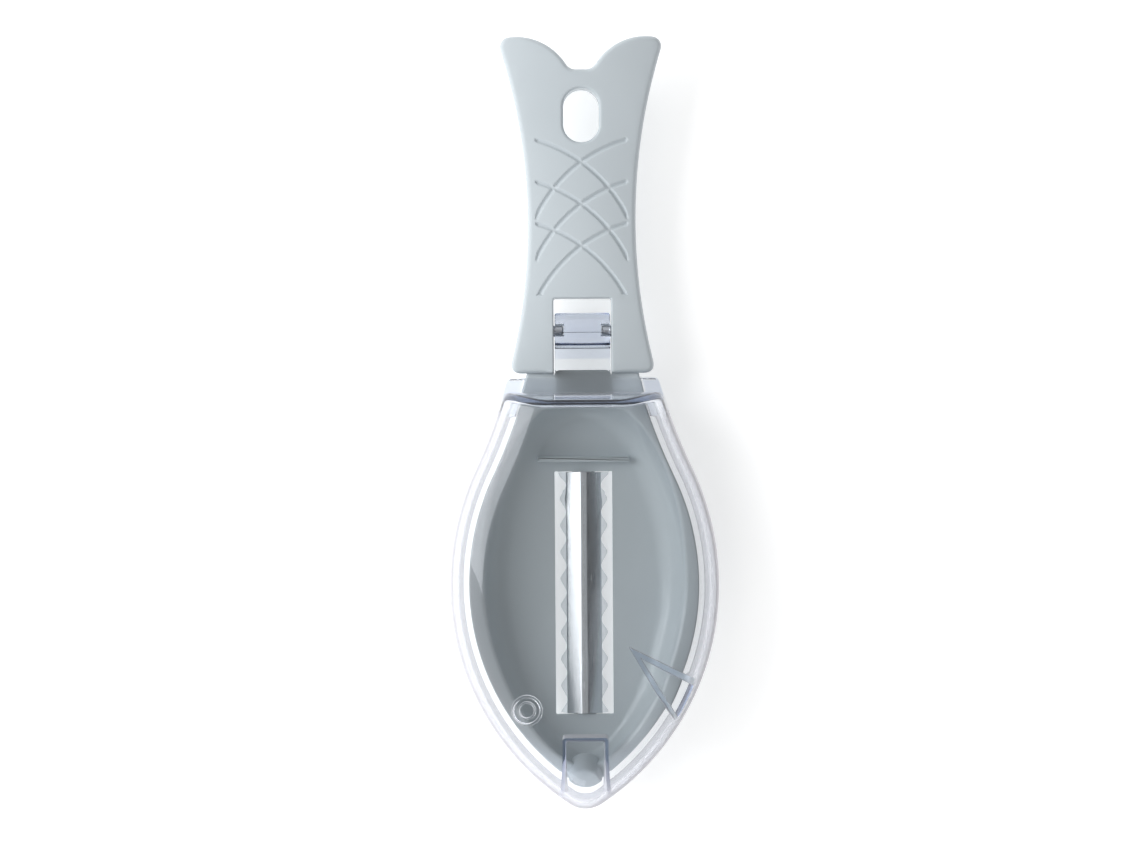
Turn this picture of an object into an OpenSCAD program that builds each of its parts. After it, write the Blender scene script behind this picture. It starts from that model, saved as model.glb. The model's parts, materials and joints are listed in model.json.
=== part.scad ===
// Fish-shaped scaler. The grip and the tray are one moulding, a clear cover hinges on
// the grip, and a toothed steel blade stands in a slot through the tray's floor.
// Millimetres. X runs across the fish, +Y points to the tail and +Z points up.
// The tips of the blade's teeth stand on z = 0, and y = 0 is the middle of the length.

/* [Outline of the fish] */
// Length from the snout to the tips of the tail
total_length = 200; // [196:1:206]
// Width across the belly, which is the cover's width
belly_width = 70; // [67:1:72]
// Place of the belly's widest point along the fish
belly_y = -42; // [-44:1:-40]
// Width of the grip at its waist
waist_width = 28; // [26:1:31]
// Place of the waist along the fish
waist_y = 52; // [50:1:54]
// Radius of the hollow sides of the waist
waist_r = 150; // [140:1:160]
// Radius of the snout
snout_r = 8; // [7:0.5:9]

/* [Grip and tail] */
// Front end of the grip's top, beside the cover
grip_front = 12.9; // [12.5:0.1:13.5]
// Thickness of the grip
grip_depth = 10; // [9:0.5:11]
// Height of the grip's top above the tooth tips
grip_top = 17.5; // [17:0.5:18.5]
// How far the tail rises above the grip
tail_lift = 4; // [2:0.5:6]
// Radius of the end of each tail lobe
lobe_r = 15.6; // [15:0.1:16]
// Distance of each lobe's centre from the middle
lobe_x = 17; // [16.5:0.1:17.5]
// Width of the hanging hole
hang_w = 9.3; // [8:0.1:10]
// Length of the hanging hole
hang_l = 14; // [12:1:16]
// Place of the hanging hole along the fish
hang_y = 79.6; // [78:0.1:80]
// Radius of the crossed grooves in the grip
groove_r = 38; // [36:1:40]
// Step from one groove to the next
groove_step = 10.8; // [10:0.1:11.5]

/* [Tray] */
// Gap from the fish's outline to the tray's wall
tray_inset = 4.5; // [4.3:0.1:5]
// Height of the tray's deck
deck_top = 15; // [14.5:0.1:15.2]
// Half width of the bowl's mouth
mouth_w = 26.2; // [25:0.1:26.5]
// Half width of the bowl's flat floor
floor_w = 19; // [18:0.5:20]
// Height of the floor's underside
floor_bottom = 2.6; // [2.4:0.1:2.8]
// Thickness of the floor
floor_t = 2.4; // [2.2:0.1:2.6]

/* [Cover] */
// Thickness of the clear cover
cover_wall = 2; // [1.8:0.1:2.2]
// Height of the cover's lower edge
cover_edge = 10; // [9:0.5:11]
// Height of the top of the cover
cover_top = 34.2; // [33:0.1:36]
// Inward lean of the cover's sides in degrees
cover_draft = 4; // [3:0.5:5]

/* [Hinge] */
// Place of the hinge's axis along the fish
hinge_y = 23.8; // [23.5:0.1:24]
// Depth of the hinge's axis below the grip's top
hinge_drop = 5; // [4.9:0.1:5.1]
// Radius of the two hinge pins
pin_r = 1.5; // [1.4:0.1:1.7]
// Width of the window for the hinge arm
window_w = 15; // [14.5:0.5:16]
// Rear end of the window
window_rear = 32.3; // [31.5:0.1:33]

/* [Blade] */
// Width of the slot in the floor
slot_w = 15; // [14:0.5:16]
// Length of the slot in the floor
slot_l = 63.5; // [62:0.5:65]
// Number of gaps between the teeth on each edge of the blade
tooth_gaps = 9; // [7:1:11]
// Depth of the gaps between the teeth
tooth_depth = 4; // [3:0.5:4.5]
// Thickness of the blade's steel
blade_t = 0.8; // [0.6:0.1:1]

/* [Hidden] */

MOULDING = "#bfc9cd";
CLEAR = [0.86, 0.9, 0.96, 0.35];
STEEL = "#b9bec2";

// The outline: waist arc, belly arc above the widest point, and its partner below.
belly_half = belly_width / 2;
waist_half = waist_width / 2;
narrowing = belly_half - waist_half;
waist_above = waist_y - belly_y;
upper_r = (narrowing * narrowing + waist_above * waist_above) / (2 * narrowing) - waist_r;
belly_at = [0, belly_y];
waist_at = [waist_half + waist_r, waist_y];
snout_y = -total_length / 2;

// Grip
notch_y = total_length / 2 - 8.6;
notch_r = 3;
tail_corner_r = 2.5;
grip_wall = 2.4;
grip_bottom = grip_top - grip_depth;
core_front = 36;
rib_t = 1.6;
grip_ribs = [47, 58, 69];
groove_w = 0.8;
groove_depth = 0.5;
groove_half = 11.4;
groove_x = 22.3;
groove_y = 36.7;

// Tray
deck_t = 2;
tray_rear = grip_front + 0.8;
tray_skirt = 5.5;
tray_snout_r = 6;
tray_snout_y = snout_y + 5.5;
bowl_up = 48;
bowl_down = 47;
floor_up = 43;
floor_down = 44;
floor_top = floor_bottom + floor_t;
slot_rear = -12.7;
slot_front = slot_rear - slot_l;
cross_rib = [24, 1.5, 3.5];
cross_rib_y = -9.5;
neck_rib_x = 10;
boss_r = 4.6;
boss_top = 22;
boss_foot_y = -89;
boss_top_y = -94.2;

// Cover
dome_base = deck_top + 0.5;
dome_rear = 8;
flange_front = grip_front - 1.3;
skirt_rear = flange_front - 0.7;
cheek_inset = tray_inset - 0.5;
crown_rise = 1;
crown_share = 0.6;
snout_share = 0.45;
rear_share = 0.25;
fillet_r = 12;
fillet_w = 11;
socket_gap = 0.35;
socket_t = 0.9;
socket_rear = -80.6;
socket_bottom = deck_top + 2;
eye_at = [-14.9, -73.4];
eye_r = 4;
eye_line = 0.8;
eye_rise = 0.4;
lip_apex = [14.1, -60.2];
lip_upper = [36, -72];
lip_lower = [30, -86];
lip_depth = 7;

// Hinge
hinge_z = grip_top - hinge_drop;
barrel_r = 4.8;
barrel_gap = 0.3;
arm_rib_y = 16.6;
arm_rib_t = 2.8;
arm_rib_drop = 1.5;
arm_w = window_w - 2 * barrel_gap;
pin_reach = 2.4;
pin_gap = 0.06;
pin_recess = 0.7;

// Blade
blade_half = 6.2;
leg_top = [4.5, 4.2];
crest_half = 0.8;
crest_top = 6.4;
roof_share = 0.6;
blade_end_gap = 0.2;
tooth_tip = 0.7;
tooth_root = 0.5;
strap_w = 6;
strap_top = 4.8;
tab_l = 7;
stake_r = 1.4;
stake_gap = 0.1;
stake_head_r = 2.4;
stake_head_t = 1;

// How finely the lofted rings are divided: from the snout to the belly, on to the rear
// corner, across the rear end, and up the bowl's and the cover's curves.
LOW_STEPS = 10;
HIGH_STEPS = 7;
END_STEPS = 3;
CURVE_STEPS = 4;
SNOUT_BIAS = 1.5;
BORE_FN = 48;

// ---- Plane geometry ----

function dir(a) = [cos(a), sin(a)];
function heading(v) = atan2(v[1], v[0]);
function unit(v) = v / norm(v);
function arc(c, r, a0, a1, n) = [for (i = [0:n]) c + r * dir(a0 + (a1 - a0) * i / n)];
function mirrored(pts) = [for (i = [len(pts) - 1:-1:0]) [-pts[i][0], pts[i][1]]];
function inner(pts) = [for (i = [1:len(pts) - 2]) pts[i]];
function lifted(pts, z) = [for (p = pts) [p[0], p[1], z]];

// How far a ray from the origin goes before it leaves (1) or enters (-1) a circle.
function ray_hit(a, c, r, side) =
    let (m = dir(a) * c)
    m + side * sqrt(m * m - c * c + r * r);

// The point at the distances r1 from c1 and r2 from c2, to the left (1) or right (-1).
function meet(c1, r1, c2, r2, side) =
    let (gap = norm(c2 - c1), u = (c2 - c1) / gap, x = (gap * gap + r1 * r1 - r2 * r2) / (2 * gap))
    c1 + u * x + side * sqrt(r1 * r1 - x * x) * [-u[1], u[0]];

// ---- Outline of the fish, from the snout to a straight rear end ----

function side_x(y, inset) =
    waist_at[0] - sqrt(pow(waist_r + inset, 2) - pow(y - waist_y, 2));

// Distance from the belly's centre to the outline in the direction a.
// snout is the radius and the y of the foremost point of the snout.
function reach(a, inset, snout) =
    let (b = belly_half - inset, nose = [0, snout[1] + snout[0] - belly_y])
    let (low_r = (b * b + nose * nose - snout[0] * snout[0]) / (2 * (b - snout[0])))
    let (low = [b - low_r, 0], up_r = upper_r - inset, up = [b - up_r, 0])
    let (waist = waist_at - belly_at)
    let (nose_end = heading(low + low_r * unit(nose - low)))
    let (belly_end = heading(up + up_r * unit(waist - up)))
    a < nose_end ? ray_hit(a, nose, snout[0], 1)
    : a < 0 ? ray_hit(a, low, low_r, 1)
    : a < belly_end ? ray_hit(a, up, up_r, 1)
    : ray_hit(a, waist, waist_r + inset, -1);

// Directions in which one half of a ring has its points: round the side, then along the end.
function spokes(inset, rear) =
    let (corner = [side_x(rear, inset), rear - belly_y])
    concat(
        [for (i = [0:LOW_STEPS]) -90 + 90 * pow(i / LOW_STEPS, SNOUT_BIAS)],
        [for (i = [1:HIGH_STEPS]) heading(corner) * i / HIGH_STEPS],
        [for (i = [1:END_STEPS]) heading([corner[0] * (1 - i / END_STEPS), corner[1]])]);

function cover_snout(inset) = [snout_r - inset, snout_y + inset];
function tray_snout(inset) = [tray_snout_r - inset, tray_snout_y + inset];

function ring(inset, rear, snout) =
    let (angles = spokes(inset, rear))
    let (half = [for (i = [0:len(angles) - 1]) let (a = angles[i], at_end = i > LOW_STEPS + HIGH_STEPS)
        belly_at + dir(a) * (at_end ? (rear - belly_y) / sin(a) : reach(a, inset, snout))])
    concat(half, inner(mirrored(half)));

// A leaf with its ends at up and down from the belly, on the spokes of the tray's ring.
function leaf(w, up, down, power_up, power_down) =
    let (half = [for (a = spokes(tray_inset, tray_rear))
        let (l = a > 0 ? up : down, n = a > 0 ? power_up : power_down)
        belly_at + dir(a) / pow(pow(cos(a) / w, n) + pow(abs(sin(a)) / l, n), 1 / n)])
    concat(half, inner(mirrored(half)));

function shrunk(pts, share) = [for (p = pts) belly_at + share * (p - belly_at)];

// A closed skin over rings of equal length. Each ring joins the next, and a fan from the
// belly's centre closes the first and the last.
module skin(rings, first_z, last_z) {
    n = len(rings[0]);
    m = len(rings);
    points = concat([for (r = rings) each r],
        [[belly_at[0], belly_at[1], first_z], [belly_at[0], belly_at[1], last_z]]);
    faces = concat(
        [for (i = [0:m - 2]) for (j = [0:n - 1]) let (k = (j + 1) % n) each [
            [i * n + j, (i + 1) * n + j, (i + 1) * n + k],
            [i * n + j, (i + 1) * n + k, i * n + k]]],
        [for (j = [0:n - 1]) [m * n, j, (j + 1) % n]],
        [for (j = [0:n - 1]) [m * n + 1, (m - 1) * n + (j + 1) % n, (m - 1) * n + j]]);
    polyhedron(points, faces, convexity = 6);
}

// ---- Grip ----

// The tail end of the outline, closed straight across at the front.
function grip_outline(inset, front) =
    let (lobe = [lobe_x, total_length / 2 - lobe_r])
    let (notch_x = lobe_x - sqrt(pow(lobe_r + notch_r, 2) - pow(notch_y + notch_r - lobe[1], 2)))
    let (notch = [notch_x, notch_y + notch_r])
    let (corner = meet(lobe, lobe_r - tail_corner_r, waist_at, waist_r + tail_corner_r, 1))
    let (to_lobe = heading(lobe - notch), from_lobe = heading(corner - lobe))
    let (to_waist = heading(waist_at - corner))
    let (front_a = 180 + asin((waist_y - front) / (waist_r + inset)))
    let (half = concat(
        arc(notch, notch_r + inset, -90, to_lobe, 3),
        arc(lobe, lobe_r - inset, 180 + to_lobe, from_lobe, 8),
        arc(corner, max(tail_corner_r - inset, 0.1), from_lobe, to_waist, 3),
        arc(waist_at, waist_r + inset, 180 + to_waist, front_a, 12)))
    concat(half, mirrored(half));

function lift(y) = tail_lift * pow(max(y - grip_front, 0) / (total_length / 2 - grip_front), 2);

// A slab across the fish between two heights that follow the tail's lift.
module lifted_slab(low, high, front) {
    steps = 10;
    stations = [for (i = [0:steps]) front + (total_length / 2 + 2 - front) * i / steps];
    rotate([90, 0, 90])
        translate([0, 0, -belly_width])
            linear_extrude(2 * belly_width)
                polygon(concat(
                    [for (y = stations) [y, low + lift(y)]],
                    [for (i = [steps:-1:0]) [stations[i], high + lift(stations[i])]]));
}

module hang_hole(grow) {
    straight = (hang_l - hang_w) / 2;
    for (s = [-1, 1])
        translate([0, hang_y + s * straight])
            circle(r = hang_w / 2 + grow, $fn = BORE_FN);
    translate([-hang_w / 2 - grow, hang_y - straight])
        square([hang_w + 2 * grow, 2 * straight]);
}

// The hollow of the underside, in bays between the cross ribs and round the hanging hole,
// with a web from the hole's wall to the tail's notch.
module grip_bays() {
    difference() {
        polygon(grip_outline(grip_wall, core_front));
        for (y = grip_ribs)
            translate([-belly_half, y - rib_t / 2])
                square([belly_width, rib_t]);
        hang_hole(grip_wall);
        translate([-rib_t / 2, hang_y])
            square([rib_t, total_length / 2 - hang_y]);
    }
}

module groove(side, row) {
    translate([-side * groove_x, groove_y - row * groove_step])
        difference() {
            circle(r = groove_r + groove_w / 2, $fn = 96);
            circle(r = groove_r - groove_w / 2, $fn = 96);
        }
}

module grooves() {
    intersection() {
        linear_extrude(3 * grip_top)
            intersection() {
                union()
                    for (row = [0:2], side = [-1, 1])
                        intersection() {
                            groove(side, row);
                            translate([-groove_half, groove_y - row * groove_step - 4])
                                square([2 * groove_half, groove_r + 8]);
                        }
                polygon(grip_outline(grip_wall, grip_front));
            }
        lifted_slab(grip_top - groove_depth, grip_top + 2, grip_front + 1);
    }
}

module grip() {
    difference() {
        intersection() {
            linear_extrude(3 * grip_top)
                difference() {
                    polygon(grip_outline(0, grip_front));
                    hang_hole(0);
                    translate([-window_w / 2, grip_front - 1])
                        square([window_w, window_rear - grip_front + 1]);
                }
            lifted_slab(grip_bottom, grip_top, grip_front - 1);
        }
        intersection() {
            linear_extrude(3 * grip_top) grip_bays();
            lifted_slab(grip_bottom - 1, grip_top - grip_wall, core_front - 1);
        }
        grooves();
        for (s = [-1, 1])
            pin_bore(s, pin_r, window_w / 2 - 1, belly_half);
    }
}

// A hole along the hinge's axis on one side, from one distance off the middle to another.
module pin_bore(side, r, from, to) {
    translate([side > 0 ? from : -to, hinge_y, hinge_z])
        rotate([0, 90, 0])
            cylinder(r = r, h = to - from, $fn = BORE_FN);
}

// ---- Tray ----

function bowl_ring(u, thick) =
    let (s = sin(90 * u))
    leaf(
        floor_w + thick + (mouth_w - floor_w) * s,
        floor_up + thick + (bowl_up - floor_up) * s,
        floor_down + thick + (bowl_down - floor_down) * s,
        1.7 + 0.5 * s, 1.7);

function bowl_z(u) = 1 - cos(90 * u);

// The bowl's outer skin, from the floor's underside up to the underside of the deck.
deck_under = deck_top - deck_t;
function bowl_outside() = [for (i = [0:CURVE_STEPS]) let (u = i / CURVE_STEPS)
    lifted(bowl_ring(u * 0.96, 0.9 * u), floor_bottom + (deck_under - floor_bottom) * bowl_z(u))];

module tray_skin() {
    edge = [
        lifted(ring(tray_inset + deck_t, tray_rear - deck_t, tray_snout(deck_t)), deck_under),
        lifted(ring(tray_inset + deck_t, tray_rear - deck_t, tray_snout(deck_t)), deck_top - tray_skirt),
        lifted(ring(tray_inset, tray_rear, tray_snout(0)), deck_top - tray_skirt),
        lifted(ring(tray_inset, tray_rear, tray_snout(0)), deck_top)];
    inside = [for (i = [CURVE_STEPS:-1:0]) let (u = i / CURVE_STEPS)
        lifted(bowl_ring(u, 0), floor_top + (deck_top - floor_top) * bowl_z(u))];
    skin(concat(bowl_outside(), edge, inside), floor_bottom, floor_top);
}

// The half-round catch at the snout, leaning forward as it rises.
module catch_boss() {
    intersection() {
        hull() {
            translate([0, boss_foot_y, floor_top - 0.5])
                linear_extrude(1) half_disc(boss_r);
            translate([0, boss_top_y, boss_top - 1])
                linear_extrude(1) half_disc(boss_r);
        }
        union() {
            skin(bowl_outside(), floor_bottom, deck_under);
            translate([0, 0, deck_top - tray_skirt])
                linear_extrude(boss_top)
                    polygon(ring(tray_inset + 0.4, tray_rear, tray_snout(0.4)));
        }
    }
}

module half_disc(r) {
    intersection() {
        circle(r = r, $fn = 32);
        translate([-r, -r / 2]) square([2 * r, 2 * r]);
    }
}

module tab_recess(end_y, way) {
    translate([-strap_w / 2 - 0.3, way > 0 ? end_y - 1 : end_y - tab_l - 0.5, floor_bottom - 1])
        cube([strap_w + 0.6, tab_l + 1.5, 1 + blade_t]);
}

// A peg moulded on the floor, through the blade's tab, with its melted head below.
module stake(y) {
    translate([0, y, floor_bottom - stake_head_t])
        cylinder(r1 = stake_head_r - 0.6, r2 = stake_head_r, h = stake_head_t, $fn = BORE_FN);
    translate([0, y, floor_bottom - 0.1])
        cylinder(r = stake_r, h = 1.5, $fn = BORE_FN);
}

module body() {
    color(MOULDING) {
        grip();
        difference() {
            union() {
                tray_skin();
                catch_boss();
                translate([-cross_rib[0] / 2, cross_rib_y - cross_rib[1] / 2, floor_top - 0.5])
                    cube(cross_rib);
                for (s = [-1, 1])
                    translate([s * neck_rib_x - rib_t / 2, 6, deck_top - tray_skirt])
                        cube([rib_t, tray_rear - 7, tray_skirt - 1]);
            }
            translate([-slot_w / 2, slot_front, floor_bottom - 1])
                cube([slot_w, slot_l, floor_t + 6]);
            tab_recess(slot_rear, 1);
            tab_recess(slot_front, -1);
        }
        stake(slot_rear + tab_l / 2);
        stake(slot_front - tab_l / 2);
    }
}

// ---- Cover ----

function dome_inset(z) = (z - dome_base) * tan(cover_draft);

// The snout stays round as the dome closes in: its radius falls slower than the inset grows.
function dome_snout(inset) =
    let (past_wall = max(inset - cover_wall, 0))
    [snout_r - min(inset, cover_wall) - snout_share * past_wall, snout_y + inset];

// The dome's rear end stays steep: it closes in by less than the sides do.
function dome_end(inset, wall) = dome_rear - wall - rear_share * (inset - wall);

// The dome's outer skin, or its inner one when it is drawn in by the wall's thickness.
module dome(wall) {
    shoulder = cover_top - crown_rise - fillet_r;
    top = shoulder + fillet_r - wall;
    lean = dome_inset(shoulder);
    base = wall > 0 ? dome_base - 1 : dome_base;
    sides = concat(
        wall > 0 ? [[wall, base]] : [],
        [[wall, dome_base], [wall + lean, shoulder]]);
    fillet = [for (i = [1:CURVE_STEPS]) let (a = 90 * i / CURVE_STEPS)
        [wall + lean + (fillet_w - wall) * (1 - cos(a)), shoulder + (fillet_r - wall) * sin(a)]];
    rings = [for (s = concat(sides, fillet))
        lifted(ring(s[0], dome_end(s[0], wall), dome_snout(s[0])), s[1])];
    innermost = lean + fillet_w;
    crown = ring(innermost, dome_end(innermost, wall), dome_snout(innermost));
    skin(concat(rings, [lifted(shrunk(crown, crown_share), top + crown_rise * 0.6)]),
        base, top + crown_rise);
}

// The strip of wall below the dome, with a thick cheek at each side of the tray's neck.
module skirt() {
    translate([0, 0, cover_edge])
        linear_extrude(dome_base - cover_edge)
            difference() {
                polygon(ring(0, skirt_rear, cover_snout(0)));
                polygon(ring(cover_wall, dome_rear - cover_wall, cover_snout(cover_wall)));
                polygon(ring(cheek_inset, skirt_rear + 1, cover_snout(cheek_inset)));
            }
}

module flange() {
    translate([0, 0, dome_base])
        linear_extrude(grip_top - dome_base)
            difference() {
                polygon(ring(0, flange_front, cover_snout(0)));
                translate([-belly_half, snout_y - 1])
                    square([belly_width, dome_rear - cover_wall - snout_y + 1]);
            }
}

module hinge_arm() {
    translate([-arm_w / 2, hinge_y, hinge_z])
        rotate([0, 90, 0])
            cylinder(r = barrel_r, h = arm_w, $fn = BORE_FN);
    translate([-arm_w / 2, flange_front - 1, dome_base])
        cube([arm_w, hinge_y - flange_front + 1, hinge_z + barrel_r - dome_base]);
    translate([-arm_w / 2, arm_rib_y, hinge_z - arm_rib_drop])
        cube([arm_w, arm_rib_t, dome_base + 0.5 - hinge_z + arm_rib_drop]);
}

module mouth_wedge(grow, low) {
    translate([0, 0, low])
        linear_extrude(cover_top)
            offset(delta = grow)
                polygon([lip_apex, lip_lower, lip_upper]);
}

module latch_socket() {
    outer = boss_r + socket_gap + socket_t;
    translate([-outer, -total_length / 2, socket_bottom])
        difference() {
            cube([2 * outer, socket_rear + total_length / 2, cover_top]);
            translate([socket_t, -1, -1])
                cube([2 * (outer - socket_t), socket_rear + total_length / 2 + 1 - socket_t,
                    cover_top - socket_bottom - cover_wall]);
        }
}

// A raised ring that follows the dome's surface.
module eye() {
    difference() {
        intersection() {
            translate([eye_at[0], eye_at[1], dome_base])
                difference() {
                    cylinder(r = eye_r, h = cover_top - dome_base, $fn = BORE_FN);
                    translate([0, 0, -1])
                        cylinder(r = eye_r - eye_line, h = cover_top - dome_base + 2, $fn = BORE_FN);
                }
            dome(-eye_rise);
        }
        dome(cover_wall / 2);
    }
}

module cover() {
    floor_of_mouth = cover_top - lip_depth;
    color(CLEAR)
        difference() {
            union() {
                difference() {
                    dome(0);
                    dome(cover_wall);
                }
                intersection() {
                    dome(0);
                    union() {
                        mouth_wedge(cover_wall, floor_of_mouth - cover_wall);
                        latch_socket();
                    }
                }
                skirt();
                flange();
                hinge_arm();
                eye();
            }
            mouth_wedge(0, floor_of_mouth);
            for (s = [-1, 1])
                pin_bore(s, pin_r + pin_gap, arm_w / 2 - pin_reach - 0.2, belly_half);
        }
}

// ---- Blade ----

// The section of the folded strip: two leaning legs under a roof with a narrow flat crest.
// back is how far the section is drawn in, and roof_share of it lowers the roof's edge.
function arch(back) =
    let (half = [
        [blade_half - back, 0],
        [leg_top[0] - back, leg_top[1] - roof_share * back],
        [crest_half, crest_top - back]])
    concat(half, mirrored(half));

module blade_strip() {
    outer = arch(0);
    hollow = arch(blade_t);
    translate([0, slot_rear - blade_end_gap, 0])
        rotate([90, 0, 0])
            linear_extrude(slot_l - 2 * blade_end_gap)
                polygon(concat(outer, [for (i = [len(hollow) - 1:-1:0]) hollow[i]]));
}

module tooth_cuts() {
    pitch = (slot_l - 2 * blade_end_gap) / tooth_gaps;
    mouth = (pitch - tooth_tip) / 2;
    for (i = [0:tooth_gaps - 1])
        translate([-blade_half - 1, slot_rear - blade_end_gap - (i + 0.5) * pitch, 0])
            rotate([90, 0, 90])
                linear_extrude(2 * blade_half + 2)
                    polygon([[-mouth, 0], [-mouth, -1], [mouth, -1], [mouth, 0],
                        [tooth_root, tooth_depth], [-tooth_root, tooth_depth]]);
}

// The strap closes one end of the arch and turns out under the floor as a tab.
module end_strap(end_y, way) {
    translate([-strap_w / 2, way > 0 ? end_y - blade_t : end_y, floor_bottom])
        cube([strap_w, blade_t, strap_top - floor_bottom]);
    difference() {
        translate([-strap_w / 2, way > 0 ? end_y - blade_t : end_y - tab_l + blade_t, floor_bottom])
            cube([strap_w, tab_l, blade_t]);
        translate([0, end_y + way * (tab_l / 2 + blade_end_gap), floor_bottom - 1])
            cylinder(r = stake_r + stake_gap, h = 3, $fn = BORE_FN);
    }
}

module blade() {
    color(STEEL) {
        difference() {
            blade_strip();
            tooth_cuts();
        }
        end_strap(slot_rear - blade_end_gap, 1);
        end_strap(slot_front + blade_end_gap, -1);
    }
}

// ---- Hinge pins ----

module hinge_pin(side) {
    start = arm_w / 2 - pin_reach;
    end = side_x(hinge_y, 0) - pin_recess;
    color(STEEL)
        pin_bore(side, pin_r, start, end);
}

module hinge_pin_left() {
    hinge_pin(-1);
}

module hinge_pin_right() {
    hinge_pin(1);
}

body();
cover();
blade();
hinge_pin_left();
hinge_pin_right();
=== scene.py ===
import json
import math

import bmesh
import bpy
import numpy as np
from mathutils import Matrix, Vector
from mathutils.bvhtree import BVHTree
from mathutils.geometry import delaunay_2d_cdt


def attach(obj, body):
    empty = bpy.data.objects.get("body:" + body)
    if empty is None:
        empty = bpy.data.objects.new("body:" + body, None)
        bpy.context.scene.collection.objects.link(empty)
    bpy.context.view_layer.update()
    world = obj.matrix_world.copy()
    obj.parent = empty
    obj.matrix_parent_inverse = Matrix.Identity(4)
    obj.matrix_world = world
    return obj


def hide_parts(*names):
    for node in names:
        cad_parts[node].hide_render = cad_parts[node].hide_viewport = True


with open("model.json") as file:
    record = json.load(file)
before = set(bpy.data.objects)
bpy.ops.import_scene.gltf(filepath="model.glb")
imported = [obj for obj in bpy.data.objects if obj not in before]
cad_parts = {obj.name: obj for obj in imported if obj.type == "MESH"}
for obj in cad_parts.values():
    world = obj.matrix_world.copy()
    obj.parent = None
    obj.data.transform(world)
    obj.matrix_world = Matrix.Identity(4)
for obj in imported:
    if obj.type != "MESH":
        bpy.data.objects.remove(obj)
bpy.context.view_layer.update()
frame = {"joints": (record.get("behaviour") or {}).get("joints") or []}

# ---- Sizes in millimetres, as in the CAD model ----

MM = 0.001
HINGE_Y, HINGE_Z = (frame["joints"][0]["pos_m"][i] / MM for i in (1, 2))
LENGTH = 200
BELLY_HALF, BELLY_Y = 35, -42
WAIST_HALF, WAIST_Y, WAIST_R = 14, 52, 150
SNOUT_Y, SNOUT_R = -LENGTH / 2, 8

GRIP_FRONT, GRIP_TOP, GRIP_BOTTOM = 12.9, 17.5, 7.5
TAIL_LIFT = 4
LOBE_X, LOBE_R = 17, 15.6
NOTCH_Y, NOTCH_R = LENGTH / 2 - 8.6, 3
TAIL_CORNER_R = 2.5
FRONT_CORNER_R = 3.4
HANG_Y, HANG_W, HANG_L = 79.6, 9.3, 14
GRIP_EDGE, GRIP_LOW_EDGE, WINDOW_EDGE, EDGE_BLENDS = 1.2, 0.8, 0.45, 6
HANG_TOP_EDGE, HANG_LOW_EDGE = 0.8, 0.5
GRIP_CROWN = 1.6
GROOVE_R, GROOVE_STEP, GROOVE_HALF = 38, 10.8, 11.4
GROOVE_X, GROOVE_Y = 22.3, 36.7
GROOVE_W, GROOVE_DEPTH = 0.62, 0.55
WINDOW_W, WINDOW_REAR = 15, 32.3
GRIP_WALL, CORE_FRONT, RIB_T = 2.4, 36, 1.6
GRIP_RIBS, BAYS_REAR = (47, 58, 69), 88
BAY_ROOF_DROP, BAY_BEVEL, BAY_BEVEL_H = 0.6, 1.0, 1.2
CROSS_RIB_HALF, CROSS_RIB_Y, CROSS_RIB_H = 12, (-10.25, -8.75), 3
NECK_RIB_X, NECK_RIB_FRONT, NECK_RIB_Z = 10, 6, (9.5, 13.5)

TRAY_INSET, DECK_TOP, DECK_T, TRAY_REAR, TRAY_SKIRT = 4.5, 15, 2, 13.7, 5.5
TRAY_SNOUT_R, TRAY_SNOUT_Y = 6, -94.5
MOUTH_W, BOWL_UP, BOWL_DOWN, LIP_R = 26.2, 48, 47, 1.2
FLOOR_W, FLOOR_UP, FLOOR_DOWN = 19, 43, 44
FLOOR_BOTTOM, FLOOR_TOP = 2.6, 5
SLOT_W, SLOT_REAR, SLOT_L = 15, -12.7, 63.5
SLOT_FRONT = SLOT_REAR - SLOT_L
TONGUE_CORNER_R = 1.7
BOSS_R, BOSS_FOOT_Y, BOSS_TOP_Y, BOSS_TOP = 4.6, -89, -94.2, 22
BOSS_EDGE, BOSS_EDGE_H = 0.7, 1

COVER_WALL, COVER_EDGE, COVER_TOP, COVER_DRAFT = 2, 10, 34.2, 4
DOME_BASE, DOME_REAR = 15.5, 8
FLANGE_FRONT, SKIRT_REAR, CHEEK_INSET = 11.6, 10.9, 4
CROWN_RISE, FILLET_R, FILLET_W = 1, 12, 11
SNOUT_SHARE, REAR_SHARE = 0.45, 0.25
SOCKET_HALF, SOCKET_REAR, SOCKET_BOTTOM, SOCKET_T = 5.85, -80.6, 17, 0.9
EYE_AT, EYE_BEADS = (-14.9, -73.4), ((3.6, 0.42), (2.05, 0.3))
LIPS = ((14.1, -60.2), (30, -86), (36, -72))
LIP_DEPTH = 7
BARREL_R, ARM_W, ARM_EDGE, PIN_R, PIN_REACH = 4.8, 14.4, 0.5, 1.5, 2.4
PIN_PLAY, PIN_SHORT, PIN_EDGE = 0.06, 0.7, 0.3
ARM_RIB = (16.6, 19.4)

BLADE_HALF, BLADE_T = 6.2, 0.8
LEG_TOP, CREST_HALF, CREST_TOP, ROOF_SHARE = (4.5, 4.2), 0.8, 6.4, 0.6
BLADE_END_GAP = 0.2
TOOTH_GAPS, TOOTH_DEPTH, TOOTH_TIP, TOOTH_ROOT = 9, 4, 0.7, 0.9
STRAP_W, STRAP_TOP, TAB_L = 6, 4.8, 7
STAKE_R, STAKE_HEAD_R = 1.4, 2.4

# How far out a cutter reaches, and how far a piece stays inside the skin that it joins.
PAST, SUNK = 30, 0.02

NARROWING = BELLY_HALF - WAIST_HALF
WAIST_ABOVE = WAIST_Y - BELLY_Y
UPPER_R = (NARROWING**2 + WAIST_ABOVE**2) / (2 * NARROWING) - WAIST_R
WAIST_X = WAIST_HALF + WAIST_R

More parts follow.
